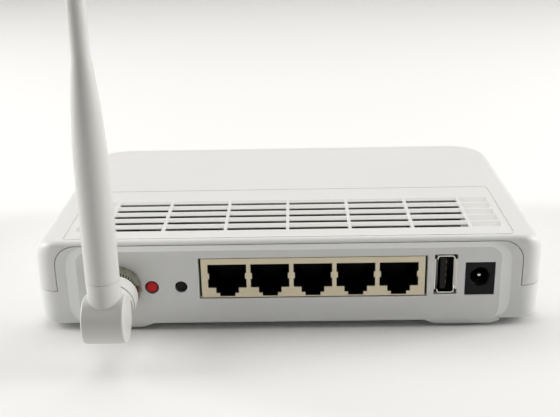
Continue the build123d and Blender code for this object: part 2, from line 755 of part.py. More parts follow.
with BuildPart() as port_contacts:
    for port_x in PORT_XS:
        for wire in range(WIRE_COUNT):
            wire_x = port_x + (wire - (WIRE_COUNT - 1) / 2) * WIRE_PITCH
            extrude(wire_profile(wire_x), amount=WIRE_WIDTH)
port_contacts.part.label = "port_contacts"
export_step(port_contacts.part, "parts/port_contacts.step")


# ---------------------------------------------------------------- USB socket
def usb_outline(y, inset):
    """End outline of the USB socket's folded shell, inset from its outer skin."""
    with BuildSketch(facing_rear(y)) as outline:
        with Locations((USB_X, USB_Z)):
            width = USB_WIDTH - 2 * inset
            RectangleRounded(width, USB_HEIGHT - 2 * inset, USB_CORNER - inset)
    return outline.sketch


def usb_lip(side):
    """Plan of the lip that flares out from one side wall at the mouth of the USB socket."""
    wall = USB_X + side * USB_WIDTH / 2
    with BuildSketch(Plane.XY.offset(USB_Z - USB_LIP_LENGTH / 2)) as lip:
        Polygon(
            (wall - side * USB_SHEET, USB_FACE_Y + USB_LIP),
            (wall, USB_FACE_Y + USB_LIP),
            (wall + side * USB_LIP, USB_FACE_Y),
            (wall + side * (USB_LIP - USB_SHEET), USB_FACE_Y),
            align=None,
        )
    return lip.sketch


usb_back_y = USB_FACE_Y + USB_DEPTH
usb_block_y = usb_back_y - USB_BLOCK
usb_tongue_x = around(USB_X - USB_TONGUE_SHIFT, USB_TONGUE)
usb_bottom = USB_Z - USB_HEIGHT / 2

with BuildPart() as usb_shell:
    extrude(usb_outline(usb_back_y, 0.0), amount=USB_DEPTH)
    extrude(usb_outline(usb_back_y, USB_SHEET), amount=USB_DEPTH, mode=Mode.SUBTRACT)
    lip_z = around(USB_Z, USB_LIP_LENGTH)
    slab(around(USB_X, USB_WIDTH), (USB_FACE_Y, USB_FACE_Y + USB_LIP), lip_z, Mode.SUBTRACT)
    for side in (-1, 1):
        extrude(usb_lip(side), amount=USB_LIP_LENGTH)
    for leg_y in (BOARD_REAR_Y + USB_LEG, usb_back_y - 2 * USB_LEG):
        leg_z = (BOARD_TOP, usb_bottom + USB_SHEET / 2)
        slab(around(USB_X, USB_WIDTH - 2 * USB_CORNER), (leg_y, leg_y + USB_LEG), leg_z)
usb_shell.part.label = "usb_shell"
export_step(usb_shell.part, "parts/usb_shell.step")

with BuildPart() as usb_insulator:
    extrude(usb_outline(usb_back_y, USB_SHEET + ROUND_FIT), amount=USB_BLOCK)
    tongue_z = around(USB_Z, USB_TONGUE_HEIGHT)
    slab(usb_tongue_x, (USB_FACE_Y + USB_TONGUE_SETBACK, usb_block_y), tongue_z)
usb_insulator.part.label = "usb_insulator"
export_step(usb_insulator.part, "parts/usb_insulator.step")

with BuildPart() as usb_contacts:
    for contact in range(USB_CONTACT_COUNT):
        contact_z = USB_Z + (contact - (USB_CONTACT_COUNT - 1) / 2) * USB_CONTACT_PITCH
        slab(
            (usb_tongue_x[1], usb_tongue_x[1] + USB_CONTACT_THICKNESS),
            (usb_block_y - USB_CONTACT_REACH, usb_block_y),
            around(contact_z, USB_CONTACT_WIDTH),
        )
usb_contacts.part.label = "usb_contacts"
export_step(usb_contacts.part, "parts/usb_contacts.step")

# --------------------------------------------------------------- power inlet
inlet_bore_y = (INLET_FACE_Y, INLET_FACE_Y + INLET_BORE_DEPTH)

with BuildPart() as inlet_body:
    inlet_y = (INLET_FACE_Y, INLET_FACE_Y + INLET_DEPTH)
    slab(around(INLET_X, INLET_WIDTH), inlet_y, (BOARD_TOP, BOARD_TOP + INLET_HEIGHT))
    rod_along_y(INLET_X, INLET_BORE_Z, INLET_BORE, inlet_bore_y, Mode.SUBTRACT)
    mouth = inlet_body.edges().filter_by(GeomType.CIRCLE).group_by(Axis.Y)[0]
    chamfer(mouth, INLET_BORE_BEVEL)
inlet_body.part.label = "inlet_body"
export_step(inlet_body.part, "parts/inlet_body.step")

with BuildPart() as inlet_pin:
    pin_y = (INLET_FACE_Y + INLET_PIN_SETBACK, inlet_bore_y[1])
    rod_along_y(INLET_X, INLET_BORE_Z, INLET_PIN, pin_y)
    pin_tip = inlet_pin.edges().filter_by(GeomType.CIRCLE).group_by(Axis.Y)[0]
    fillet(pin_tip, INLET_PIN_DOME)
inlet_pin.part.label = "inlet_pin"
export_step(inlet_pin.part, "parts/inlet_pin.step")

with BuildPart() as inlet_spring:
    spring_y = (INLET_FACE_Y + SPRING_FRONT, inlet_bore_y[1])
    spring_low = INLET_BORE_Z - INLET_BORE + SPRING_LIFT
    slab(around(INLET_X, SPRING_WIDTH), spring_y, (spring_low, spring_low + SPRING_THICKNESS))
inlet_spring.part.label = "inlet_spring"
export_step(inlet_spring.part, "parts/inlet_spring.step")

# ------------------------------------------------------------------- buttons
switch_y = (REAR_Y + SWITCH_FORWARD, REAR_Y + SWITCH_FORWARD + SWITCH_DEPTH)


def switch_body(x, travel):
    """Side-press switch on the board, with the bore that its button's stem runs in."""
    with BuildPart() as body:
        slab(around(x, SWITCH_WIDTH), switch_y, (BOARD_TOP, BOARD_TOP + SWITCH_HEIGHT))
        bore_depth = STEM_LENGTH - BUTTON_REST_GAP + travel
        bore_y = (switch_y[0], switch_y[0] + bore_depth)
        rod_along_y(x, BUTTON_Z, STEM_RADIUS + STEM_FIT, bore_y, Mode.SUBTRACT)
    return body.part


def push_button(x, radius, setback, travel):
    """Round cap in the panel hole, with a stem that runs into the switch."""
    cap_back = switch_y[0] - BUTTON_REST_GAP - travel
    with BuildPart() as button:
        rod_along_y(x, BUTTON_Z, radius, (REAR_Y + setback, cap_back))
        face_edge = button.edges().filter_by(GeomType.CIRCLE).group_by(Axis.Y)[0]
        fillet(face_edge, BUTTON_DOME)
        stem_end = switch_y[0] + STEM_LENGTH - 2 * BUTTON_REST_GAP
        rod_along_y(x, BUTTON_Z, STEM_RADIUS, (cap_back, stem_end))
    return button.part


with BuildPart() as setup_switch:
    add(switch_body(SETUP_X, SETUP_TRAVEL))
setup_switch.part.label = "setup_switch"
export_step(setup_switch.part, "parts/setup_switch.step")

with BuildPart() as setup_button:
    add(push_button(SETUP_X, SETUP_RADIUS, SETUP_SETBACK, SETUP_TRAVEL))
setup_button.part.label = "setup_button"
export_step(setup_button.part, "parts/setup_button.step")

with BuildPart() as reset_switch:
    add(switch_body(RESET_X, RESET_TRAVEL))
reset_switch.part.label = "reset_switch"
export_step(reset_switch.part, "parts/reset_switch.step")

with BuildPart() as reset_button:
    add(push_button(RESET_X, RESET_RADIUS, RESET_SETBACK, RESET_TRAVEL))
reset_button.part.label = "reset_button"
export_step(reset_button.part, "parts/reset_button.step")


# --------------------------------------------------------- board electronics
def on_board(x, forward, width, length, height):
    """Block standing on the board, centred at x and at a distance in front of the rear face."""
    slab(around(x, width), around(REAR_Y + forward, length), (BOARD_TOP, BOARD_TOP + height))


def legged_chip(x, forward, width, length, height):
    """Flat chip with a row of legs along its two long sides, facing -Y and +Y."""
    on_board(x, forward, width, length, height)
    count = int((width - 2 * CHIP_LEG_PITCH) / CHIP_LEG_PITCH)
    row_length = length + 2 * CHIP_LEG_REACH
    for leg in range(count):
        leg_x = x + (leg - (count - 1) / 2) * CHIP_LEG_PITCH
        on_board(leg_x, forward, CHIP_LEG, row_length, CHIP_LEG_HEIGHT)


with BuildPart() as processor_chip:
    on_board(*PROCESSOR)
    chamfer(processor_chip.faces().sort_by(Axis.Z)[-1].edges(), CHIP_LEG)
processor_chip.part.label = "processor_chip"
export_step(processor_chip.part, "parts/processor_chip.step")

with BuildPart() as memory_chip:
    legged_chip(*MEMORY)
memory_chip.part.label = "memory_chip"
export_step(memory_chip.part, "parts/memory_chip.step")

with BuildPart() as flash_chip:
    legged_chip(*FLASH)
flash_chip.part.label = "flash_chip"
export_step(flash_chip.part, "parts/flash_chip.step")

with BuildPart() as radio_chip:
    on_board(*RADIO_CHIP)
radio_chip.part.label = "radio_chip"
export_step(radio_chip.part, "parts/radio_chip.step")

with BuildPart() as radio_can:
    can_x, can_forward, can_width, can_length, can_height = RADIO_CAN
    on_board(*RADIO_CAN)
    fillet(radio_can.edges().filter_by(Axis.Z), 2 * CAN_SHEET)
    slab(
        around(can_x, can_width - 2 * CAN_SHEET),
        around(REAR_Y + can_forward, can_length - 2 * CAN_SHEET),
        (BOARD_TOP, BOARD_TOP + can_height - CAN_SHEET),
        Mode.SUBTRACT,
    )
radio_can.part.label = "radio_can"
export_step(radio_can.part, "parts/radio_can.step")

with BuildPart() as line_transformers:
    for transformer in TRANSFORMERS:
        legged_chip(*transformer)
line_transformers.part.label = "line_transformers"
export_step(line_transformers.part, "parts/line_transformers.step")

with BuildPart() as voltage_regulator:
    on_board(*REGULATOR)
voltage_regulator.part.label = "voltage_regulator"
export_step(voltage_regulator.part, "parts/voltage_regulator.step")

with BuildPart() as power_inductor:
    on_board(*INDUCTOR)
    fillet(power_inductor.edges().filter_by(Axis.Z), INDUCTOR[2] / 4)
power_inductor.part.label = "power_inductor"
export_step(power_inductor.part, "parts/power_inductor.step")

with BuildPart() as clock_crystal:
    on_board(*CRYSTAL)
    fillet(clock_crystal.edges().filter_by(Axis.Z), CRYSTAL[3] / 2 - CHIP_LEG)
clock_crystal.part.label = "clock_crystal"
export_step(clock_crystal.part, "parts/clock_crystal.step")

with BuildPart() as usb_fuse:
    on_board(*FUSE)
usb_fuse.part.label = "usb_fuse"
export_step(usb_fuse.part, "parts/usb_fuse.step")

with BuildPart() as tall_capacitors:
    capacitor_points = [(x, REAR_Y + forward) for x, forward in TALL_CAPACITORS]
    capacitor_top = BOARD_TOP + TALL_CAPACITOR_HEIGHT
    upright(capacitor_points, TALL_CAPACITOR_RADIUS, (BOARD_TOP, capacitor_top))
    can_edges = tall_capacitors.edges().filter_by(GeomType.CIRCLE).group_by(Axis.Z)[-1]
    fillet(can_edges, CAPACITOR_GROOVE)
tall_capacitors.part.label = "tall_capacitors"
export_step(tall_capacitors.part, "parts/tall_capacitors.step")


def small_parts(grid):
    """Rows of small surface-mount parts about a point of the board."""
    (x, forward), columns, rows, pitch = grid
    for column in range(columns):
        for row in range(rows):
            part_x = x + (column - (columns - 1) / 2) * pitch
            part_forward = forward + (row - (rows - 1) / 2) * pitch
            on_board(part_x, part_forward, *SMALL_PART)


with BuildPart() as small_capacitors:
    small_parts(CAPACITOR_GRID)
small_capacitors.part.label = "small_capacitors"
export_step(small_capacitors.part, "parts/small_capacitors.step")

with BuildPart() as small_resistors:
    small_parts(RESISTOR_GRID)
small_resistors.part.label = "small_resistors"
export_step(small_resistors.part, "parts/small_resistors.step")

# ---------------------------------------------------------------- indicators
led_xs = [(led - (LED_COUNT - 1) / 2) * LED_PITCH for led in range(LED_COUNT)]

with BuildPart() as status_leds:
    for x in led_xs:
        on_board(x, LED_FORWARD, LED_LENGTH, LED_WIDTH, LED_HEIGHT)
status_leds.part.label = "status_leds"
export_step(status_leds.part, "parts/status_leds.step")

with BuildPart() as light_guide:
    guide_z = around(GUIDE_HEIGHT, GUIDE_SIZE)
    led_y = REAR_Y + LED_FORWARD
    nose_inner = NOSE_RADIUS - WALL
    nose_rise = max(GUIDE_HEIGHT + GUIDE_SIZE / 2 - (ROOF_UNDERSIDE - nose_inner), 0.0)
    guide_front = FRONT_Y - WALL - edge_lean(nose_inner - nose_rise, nose_inner) - GUIDE_FIT
    for x in led_xs:
        pipe_x = around(x, GUIDE_SIZE)
        slab(pipe_x, (led_y - GUIDE_SIZE / 2, guide_front), guide_z)
        drop_z = (BOARD_TOP + LED_HEIGHT + GUIDE_FIT, guide_z[1])
        slab(pipe_x, around(led_y, GUIDE_SIZE), drop_z)
    bar_y = around(REAR_Y + GUIDE_BAR_FORWARD, GUIDE_SIZE)
    slab((-GUIDE_PEG_X, GUIDE_PEG_X), bar_y, guide_z)
    for side in (-1, 1):
        peg_x = around(side * (GUIDE_PEG_X - GUIDE_SIZE / 2), GUIDE_SIZE)
        slab(peg_x, (led_y, bar_y[1]), guide_z)
        slab(peg_x, around(led_y, GUIDE_SIZE), (BOARD_TOP, guide_z[1]))
light_guide.part.label = "light_guide"
export_step(light_guide.part, "parts/light_guide.step")


# ------------------------------------------------------------ antenna socket
def on_axis(radius, reach_span, mode=Mode.ADD):
    """Cylinder on the connector axis between two reaches behind the rear face."""
    rod_along_y(ANTENNA_X, ANTENNA_Z, radius, antenna_axis(reach_span), mode)


socket_block_back = -SOCKET_BLOCK_FORWARD - SOCKET_BLOCK
insulator_back = SOCKET_INSULATOR_REACH - SOCKET_INSULATOR_LENGTH

with BuildPart() as antenna_socket:
    block_y = antenna_axis((socket_block_back, -SOCKET_BLOCK_FORWARD))
    block_z = (BOARD_TOP, ANTENNA_Z + SOCKET_BLOCK / 2)
    slab(around(ANTENNA_X, SOCKET_BLOCK), block_y, block_z)
    on_axis(SOCKET_THREAD_RADIUS, (-SOCKET_BLOCK_FORWARD, SOCKET_REACH))
    on_axis(SOCKET_BORE, (insulator_back, SOCKET_REACH), Mode.SUBTRACT)
    on_axis(2 * SOCKET_PIN, (socket_block_back, insulator_back), Mode.SUBTRACT)
antenna_socket.part.label = "antenna_socket"
export_step(antenna_socket.part, "parts/antenna_socket.step")

with BuildPart() as socket_insulator:
    on_axis(SOCKET_BORE, (insulator_back, SOCKET_INSULATOR_REACH))
    on_axis(SOCKET_PIN, (insulator_back, SOCKET_INSULATOR_REACH), Mode.SUBTRACT)
socket_insulator.part.label = "socket_insulator"
export_step(socket_insulator.part, "parts/socket_insulator.step")

with BuildPart() as socket_contact:
    on_axis(SOCKET_PIN, (socket_block_back + 2 * PAST, SOCKET_PIN_REACH))
socket_contact.part.label = "socket_contact"
export_step(socket_contact.part, "parts/socket_contact.step")

# ------------------------------------------------------- antenna coupling nut
plug_shoulder_start = SOCKET_REACH + ROUND_FIT
plug_shoulder_end = plug_shoulder_start + PLUG_SHOULDER
nut_flange_start = NUT_END - NUT_FLANGE
knurl_start = NUT_END - NUT_KNURL_LENGTH

with BuildPart() as antenna_nut:
    on_axis(NUT_RADIUS, (NUT_START, NUT_END))
    on_axis(SOCKET_THREAD_RADIUS + ROUND_FIT, (NUT_START, nut_flange_start), Mode.SUBTRACT)
    on_axis(PLUG_SHAFT + ROUND_FIT, (NUT_START, NUT_END), Mode.SUBTRACT)
    on_axis(NUT_SKIRT_BORE, (NUT_START, NUT_START + NUT_SKIRT_DEPTH), Mode.SUBTRACT)
    nut_face = facing_rear(antenna_axis((knurl_start, NUT_END))[1])
    with BuildSketch(nut_face) as knurls:
        with Locations((ANTENNA_X, ANTENNA_Z)):
            with PolarLocations(NUT_RADIUS, NUT_KNURLS):
                Rectangle(2 * NUT_KNURL_DEPTH, NUT_KNURL_DEPTH)
    extrude(amount=NUT_KNURL_LENGTH, mode=Mode.SUBTRACT)
antenna_nut.part.label = "antenna_nut"
export_step(antenna_nut.part, "parts/antenna_nut.step")

# --------------------------------------------------------------- antenna plug
plug_bore = PLUG_TUBE - PLUG_TUBE_WALL

with BuildPart() as antenna_plug:
    on_axis(PLUG_TUBE, (PLUG_TUBE_START, plug_shoulder_start))
    on_axis(PLUG_SHOULDER_RADIUS, (plug_shoulder_start, plug_shoulder_end))
    on_axis(PLUG_SHAFT, (plug_shoulder_end, PLUG_SHAFT_END))
    on_axis(plug_bore, (PLUG_TUBE_START, PLUG_SHAFT_END), Mode.SUBTRACT)
antenna_plug.part.label = "antenna_plug"
export_step(antenna_plug.part, "parts/antenna_plug.step")

with BuildPart() as plug_insulator:
    on_axis(plug_bore, (PLUG_TUBE_START, PLUG_SHAFT_END))
    on_axis(PLUG_CONTACT, (PLUG_TUBE_START, PLUG_SHAFT_END), Mode.SUBTRACT)
plug_insulator.part.label = "plug_insulator"
export_step(plug_insulator.part, "parts/plug_insulator.step")

with BuildPart() as plug_contact:
    on_axis(PLUG_CONTACT, (PLUG_TUBE_START, PLUG_SHAFT_END))
    socket_span = (PLUG_TUBE_START, SOCKET_PIN_REACH + BUTTON_REST_GAP)
    on_axis(PLUG_CONTACT_BORE, socket_span, Mode.SUBTRACT)
plug_contact.part.label = "plug_contact"
export_step(plug_contact.part, "parts/plug_contact.step")

# ------------------------------------------------------------- antenna collar
collar_start = NUT_END + COLLAR_FIT
collar_groove = around(COLLAR_GROOVE, COLLAR_GROOVE_WIDTH)
ear_x = around(ANTENNA_X, EAR_THICKNESS)
barrel_x = around(ANTENNA_X, BARREL_WIDTH)

with BuildPart() as antenna_collar:
    on_axis(COLLAR_RADIUS, (collar_start, collar_groove[0]))
    on_axis(COLLAR_RADIUS - COLLAR_GROOVE_DEPTH, collar_groove)
    on_axis(COLLAR_LIP_RADIUS, (collar_groove[1], COLLAR_END))
    rod_along_x(
        HINGE_Y,
        ANTENNA_Z,
        BARREL_RADIUS + BARREL_FIT,
        around(ANTENNA_X, 4 * COLLAR_RADIUS),
        Mode.SUBTRACT,
    )
    web_y = (HINGE_Y, REAR_Y - collar_groove[0])
    slab(ear_x, web_y, around(ANTENNA_Z, EAR_WEB))
    rod_along_x(HINGE_Y, ANTENNA_Z, EAR_RADIUS, ear_x)
    rod_along_x(HINGE_Y, ANTENNA_Z, HINGE_PIN_RADIUS + ROUND_FIT, ear_x, Mode.SUBTRACT)
    on_axis(PLUG_SHAFT, (collar_start, PLUG_SHAFT_END), Mode.SUBTRACT)
antenna_collar.part.label = "antenna_collar"
export_step(antenna_collar.part, "parts/antenna_collar.step")

# ------------------------------------------------------------- antenna hinge
pin_x = (barrel_x[0] + HINGE_PIN_END, barrel_x[1] - HINGE_PIN_END)

with BuildPart() as hinge_pin:
    rod_along_x(HINGE_Y, ANTENNA_Z, HINGE_PIN_RADIUS, pin_x)
hinge_pin.part.label = "hinge_pin"
export_step(hinge_pin.part, "parts/hinge_pin.step")


def on_rod(radius, rise_span, mode=Mode.ADD):
    """Upright cylinder on the antenna rod, between two heights above the hinge axis."""
    z_span = (ANTENNA_Z + rise_span[0], ANTENNA_Z + rise_span[1])
    upright([(ANTENNA_X, HINGE_Y)], radius, z_span, mode)


spigot_end = ROD_JOINT + SPIGOT_LENGTH
slot_x = around(ANTENNA_X, EAR_THICKNESS + 2 * EAR_FIT)
web_clear = EAR_WEB / 2 + EAR_FIT

with BuildPart() as antenna_knuckle:
    rod_along_x(HINGE_Y, ANTENNA_Z, BARREL_RADIUS, barrel_x)
    fillet(antenna_knuckle.edges().filter_by(GeomType.CIRCLE), BARREL_BEVEL)
    on_rod(ROD_RADIUS, (0, ROD_JOINT))
    on_rod(SPIGOT_RADIUS, (ROD_JOINT, spigot_end))
    rod_along_x(HINGE_Y, ANTENNA_Z, EAR_RADIUS + EAR_FIT, slot_x, Mode.SUBTRACT)
    slab(
        slot_x,
        (HINGE_Y - web_clear, HINGE_Y + 2 * BARREL_RADIUS),
        (ANTENNA_Z - 2 * BARREL_RADIUS, ANTENNA_Z + web_clear),
        Mode.SUBTRACT,
    )
    rod_along_x(HINGE_Y, ANTENNA_Z, HINGE_PIN_RADIUS, pin_x, Mode.SUBTRACT)
    on_rod(FEED_RADIUS, (FEED_START, spigot_end), Mode.SUBTRACT)
antenna_knuckle.part.label = "antenna_knuckle"
export_step(antenna_knuckle.part, "parts/antenna_knuckle.step")

# -------------------------------------------------------------- antenna blade
blade_start = ROD_JOINT + ROD_JOINT_GAP
blade_plane = Plane(origin=(ANTENNA_X, HINGE_Y, ANTENNA_Z), x_dir=(1, 0, 0), z_dir=(0, -1, 0))

with BuildPart() as antenna_blade:
    with BuildSketch(blade_plane):
        with BuildLine():
            Line((0, blade_start), (ROD_RADIUS - ROD_JOINT_BEVEL, blade_start))
            Line((ROD_RADIUS - ROD_JOINT_BEVEL, blade_start), (ROD_RADIUS, blade_start + ROD_JOINT_BEVEL))
            Line((ROD_RADIUS, blade_start + ROD_JOINT_BEVEL), (ROD_RADIUS, TAPER_START))
            TangentArc((ROD_RADIUS, TAPER_START), (TAPER_END_RADIUS, TAPER_END), tangent=(0, 1))
            Line((TAPER_END_RADIUS, TAPER_END), (WHIP_RADIUS, WHIP_START))
            Line((WHIP_RADIUS, WHIP_START), (WHIP_TIP_RADIUS, BLADE_LENGTH - WHIP_TIP_RADIUS))
            RadiusArc(
                (WHIP_TIP_RADIUS, BLADE_LENGTH - WHIP_TIP_RADIUS),
                (0, BLADE_LENGTH),
                -WHIP_TIP_RADIUS,
            )
            Line((0, BLADE_LENGTH), (0, blade_start))
        make_face()
    revolve(axis=Axis(blade_plane.origin, (0, 0, 1)))
    on_rod(SPIGOT_RADIUS, (blade_start, spigot_end + ROUND_FIT), Mode.SUBTRACT)
    on_rod(BLADE_CORE, (spigot_end, BLADE_CORE_END), Mode.SUBTRACT)
    on_rod(FEED_RADIUS, (BLADE_CORE_END, FEED_END), Mode.SUBTRACT)
antenna_blade.part.label = "antenna_blade"
export_step(antenna_blade.part, "parts/antenna_blade.step")

with BuildPart() as feed_cable:
    on_rod(FEED_RADIUS, (FEED_START, FEED_END))
feed_cable.part.label = "feed_cable"
export_step(feed_cable.part, "parts/feed_cable.step")

with BuildPart() as choke_tube:
    choke_span = (CHOKE_START, CHOKE_START + CHOKE_LENGTH)
    on_rod(BLADE_CORE, choke_span)
    on_rod(FEED_RADIUS, choke_span, Mode.SUBTRACT)
choke_tube.part.label = "choke_tube"
export_step(choke_tube.part, "parts/choke_tube.step")
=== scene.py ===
import json
import math

import bpy
from mathutils import Matrix, Vector


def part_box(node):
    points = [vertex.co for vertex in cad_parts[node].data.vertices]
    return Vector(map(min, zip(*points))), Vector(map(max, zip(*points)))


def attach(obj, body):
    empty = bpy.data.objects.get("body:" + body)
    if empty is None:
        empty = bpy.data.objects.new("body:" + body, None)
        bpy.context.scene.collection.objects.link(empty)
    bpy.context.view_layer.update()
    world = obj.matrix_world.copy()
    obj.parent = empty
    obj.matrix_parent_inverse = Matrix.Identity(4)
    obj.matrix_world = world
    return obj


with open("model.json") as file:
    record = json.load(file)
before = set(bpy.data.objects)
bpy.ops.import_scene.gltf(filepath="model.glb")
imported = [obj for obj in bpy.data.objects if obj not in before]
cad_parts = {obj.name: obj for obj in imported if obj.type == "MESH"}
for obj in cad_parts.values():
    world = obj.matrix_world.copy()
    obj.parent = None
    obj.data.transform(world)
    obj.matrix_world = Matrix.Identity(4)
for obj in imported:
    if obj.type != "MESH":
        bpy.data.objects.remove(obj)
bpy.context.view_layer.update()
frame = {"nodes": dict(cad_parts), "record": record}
NODES = frame["nodes"]
scene = bpy.context.scene
MM = 0.001
REAR_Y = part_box("bottom_shell")[0].y

# ------------------------------------------------------------------------------ camera
# The camera looks at the rear panel. Its place across and up is given from the frame's
# origin, and its distance from the rear face.
CAMERA_X = 3.27 * MM
CAMERA_BACK = 266.9 * MM
CAMERA_Z = 142.86 * MM
CAMERA_PITCH = math.radians(20.58)
CAMERA_YAW = math.radians(-1.161)
CAMERA_ROLL = math.radians(1.254)
FOCAL_PIXELS = 902.89
IMAGE_WIDTH = 560
SENSOR_WIDTH = 36.0
CLIP_NEAR = 0.01
CLIP_FAR = 20.0


def make_camera():
    forward = Vector((
        math.sin(CAMERA_YAW) * math.cos(CAMERA_PITCH),
        math.cos(CAMERA_YAW) * math.cos(CAMERA_PITCH),
        -math.sin(CAMERA_PITCH),
    ))
    level_right = Vector((math.cos(CAMERA_YAW), -math.sin(CAMERA_YAW), 0))
    level_down = forward.cross(level_right)
    right = math.cos(CAMERA_ROLL) * level_right + math.sin(CAMERA_ROLL) * level_down
    up = math.sin(CAMERA_ROLL) * level_right - math.cos(CAMERA_ROLL) * level_down
    turn = Matrix((right, up, -forward)).transposed().to_4x4()
    data = bpy.data.cameras.new("camera")
    data.sensor_width = SENSOR_WIDTH
    data.lens = FOCAL_PIXELS * SENSOR_WIDTH / IMAGE_WIDTH
    data.clip_start = CLIP_NEAR
    data.clip_end = CLIP_FAR
    camera = bpy.data.objects.new("camera", data)
    camera.matrix_world = Matrix.Translation((CAMERA_X, REAR_Y - CAMERA_BACK, CAMERA_Z)) @ turn
    scene.collection.objects.link(camera)
    scene.camera = camera


# ----------------------------------------------------------------------------- colours
CASE_WHITE = (0.81, 0.81, 0.80)
PANEL_WHITE = (0.86, 0.865, 0.855)
# Greyer than the case white: partly the antenna's own plastic, partly painted shade for its dim front.
ANTENNA_WHITE_AND_PAINTED_SHADE = (0.71, 0.71, 0.685)
NUT_COLOUR = (0.50, 0.49, 0.40)
TIN_COLOUR = (0.82, 0.73, 0.54)
NICKEL_COLOUR = (0.80, 0.78, 0.72)
# Gold darkened well below plain gold as painted shade, for contacts deep in the sockets.
GOLD_PAINTED_SHADE_COLOUR = (0.42, 0.29, 0.11)
BRASS_COLOUR = (0.74, 0.56, 0.27)
STEEL_COLOUR = (0.58, 0.58, 0.57)
SOCKET_BLACK = (0.010, 0.010, 0.012)
INLET_BLACK = (0.004, 0.004, 0.005)
BUTTON_RED = (0.85, 0.006, 0.012)
BUTTON_BLACK = (0.006, 0.006, 0.008)
RUBBER_GREY = (0.035, 0.035, 0.035)
EPOXY_BLACK = (0.022, 0.022, 0.024)
FLUORO_WHITE = (0.82, 0.82, 0.80)
# Solder mask darkened nearly to black as painted shade, for the board deep inside the case.
BOARD_PAINTED_SHADE_GREEN = (0.004, 0.030, 0.012)
WINDOW_SMOKE = (0.030, 0.033, 0.040)
CERAMIC_BROWN = (0.33, 0.22, 0.13)
JACKET_BROWN = (0.13, 0.065, 0.03)
LAMP_CLEAR = (0.75, 0.72, 0.50)
GUIDE_CLEAR = (0.80, 0.84, 0.86)

# --------------------------------------------------- surface patterns, scales per metre
CLOUD_SCALE = 22.0
UNEVEN_GLOSS_SCALE = 300.0
GRAIN_SCALE = 4200.0
GRAIN_STRENGTH = 0.35
GRAIN_DEPTH = 0.02 * MM
FINE_GRAIN_DEPTH = 0.01 * MM
COARSE_GRAIN_DEPTH = 0.05 * MM
SCRATCH_SCALE = 900.0
SCRATCH_STRENGTH = 0.25
SCRATCH_DEPTH = 0.02 * MM
METAL_GLOSS_LOW = 0.8
METAL_GLOSS_HIGH = 1.25
TRACK_SCALE = 240.0
TRACK_STRETCH = (1, 0.2, 1)
TRACK_DARK = 0.6
TRACK_LIGHT = 1.25
TRACK_EDGES = (0.47, 0.53)
TRACK_STRENGTH = 0.4
TRACK_DEPTH = 0.03 * MM
BOARD_ROUGHNESS = 0.32
CLEAR_CLOUD_SCALE = 500.0
CLEAR_TONE = 0.1
CLEAR_GLOSS_LOW = 0.8
CLEAR_GLOSS_HIGH = 1.2
CLEAR_PLASTIC_IOR = 1.49

# Shares of a round node's radius between which its colour turns into painted shade: at a button's rim, and
# down in the nut's knurl.
BUTTON_CLEAR = 0.62
BUTTON_RIM = 0.98
# Painted shade at the button's rim, standing for the shadow of its hole.
BUTTON_RIM_PAINTED_SHADE = 0.12
KNURL_ROOT = 0.965
KNURL_CREST = 0.99
# Painted shade, nearly black, down in the knurl and on the nut's end faces.
KNURL_ROOT_PAINTED_SHADE = 0.01


# -------------------------------------------------------------------- material helpers
def new_material(name):
    material = bpy.data.materials.new(name)
    material.use_nodes = True
    tree = material.node_tree
    shader = tree.nodes["Principled BSDF"]
    return material, tree, shader


def generated_noise(tree, scale, detail=3.0, roughness=0.5, stretch=(1, 1, 1)):
    """Noise in object space, which is the same in every view and at every pose."""
    place = tree.nodes.new("ShaderNodeTexCoord")
    mapping = tree.nodes.new("ShaderNodeMapping")
    mapping.inputs["Scale"].default_value = stretch
    noise = tree.nodes.new("ShaderNodeTexNoise")
    noise.inputs["Scale"].default_value = scale
    noise.inputs["Detail"].default_value = detail
    noise.inputs["Roughness"].default_value = roughness
    tree.links.new(place.outputs["Object"], mapping.inputs["Vector"])
    tree.links.new(mapping.outputs["Vector"], noise.inputs["Vector"])
    return noise.outputs["Fac"]


def ramp(tree, source, low, high, low_at=0.3, high_at=0.7):
    """Ramp from one colour to another as the source rises."""
    node = tree.nodes.new("ShaderNodeValToRGB")
    node.color_ramp.elements[0].position = low_at
    node.color_ramp.elements[0].color = low
    node.color_ramp.elements[1].position = high_at
    node.color_ramp.elements[1].color = high
    tree.links.new(source, node.inputs["Fac"])
    return node.outputs["Color"]


def grey(value):
    return (value, value, value, 1)


def shade(colour, factor):
    return (colour[0] * factor, colour[1] * factor, colour[2] * factor, 1)


def vary_colour(tree, shader, source, colour, tone):
    """Colour that darkens by the tone's share where the source is low."""
    colour_out = ramp(tree, source, shade(colour, 1 - tone), shade(colour, 1.0))
    tree.links.new(colour_out, shader.inputs["Base Color"])


def vary_roughness(tree, shader, source, low, high):
    tree.links.new(ramp(tree, source, grey(low), grey(high)), shader.inputs["Roughness"])


def add_bump(tree, shader, height, strength, distance):
    bump = tree.nodes.new("ShaderNodeBump")
    bump.inputs["Strength"].default_value = strength
    bump.inputs["Distance"].default_value = distance
    tree.links.new(height, bump.inputs["Height"])
    tree.links.new(bump.outputs["Normal"], shader.inputs["Normal"])


def across_axis(tree, node, inner, outer):
    """0 near the axis of a round node that points to the rear, rising to 1 at its rim."""
    low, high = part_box(node)
    radius = (high.x - low.x) / 2
    place = tree.nodes.new("ShaderNodeTexCoord")
    offset = tree.nodes.new("ShaderNodeVectorMath")
    offset.operation = "SUBTRACT"
    offset.inputs[1].default_value = (low + high) / 2
    flat = tree.nodes.new("ShaderNodeVectorMath")
    flat.operation = "MULTIPLY"
    flat.inputs[1].default_value = (1, 0, 1)
    length = tree.nodes.new("ShaderNodeVectorMath")
    length.operation = "LENGTH"
    spread = tree.nodes.new("ShaderNodeMapRange")
    spread.inputs["From Min"].default_value = inner * radius
    spread.inputs["From Max"].default_value = outer * radius
    tree.links.new(place.outputs["Object"], offset.inputs[0])
    tree.links.new(offset.outputs[0], flat.inputs[0])
    tree.links.new(flat.outputs[0], length.inputs[0])
    tree.links.new(length.outputs["Value"], spread.inputs["Value"])
    return spread.outputs["Result"]


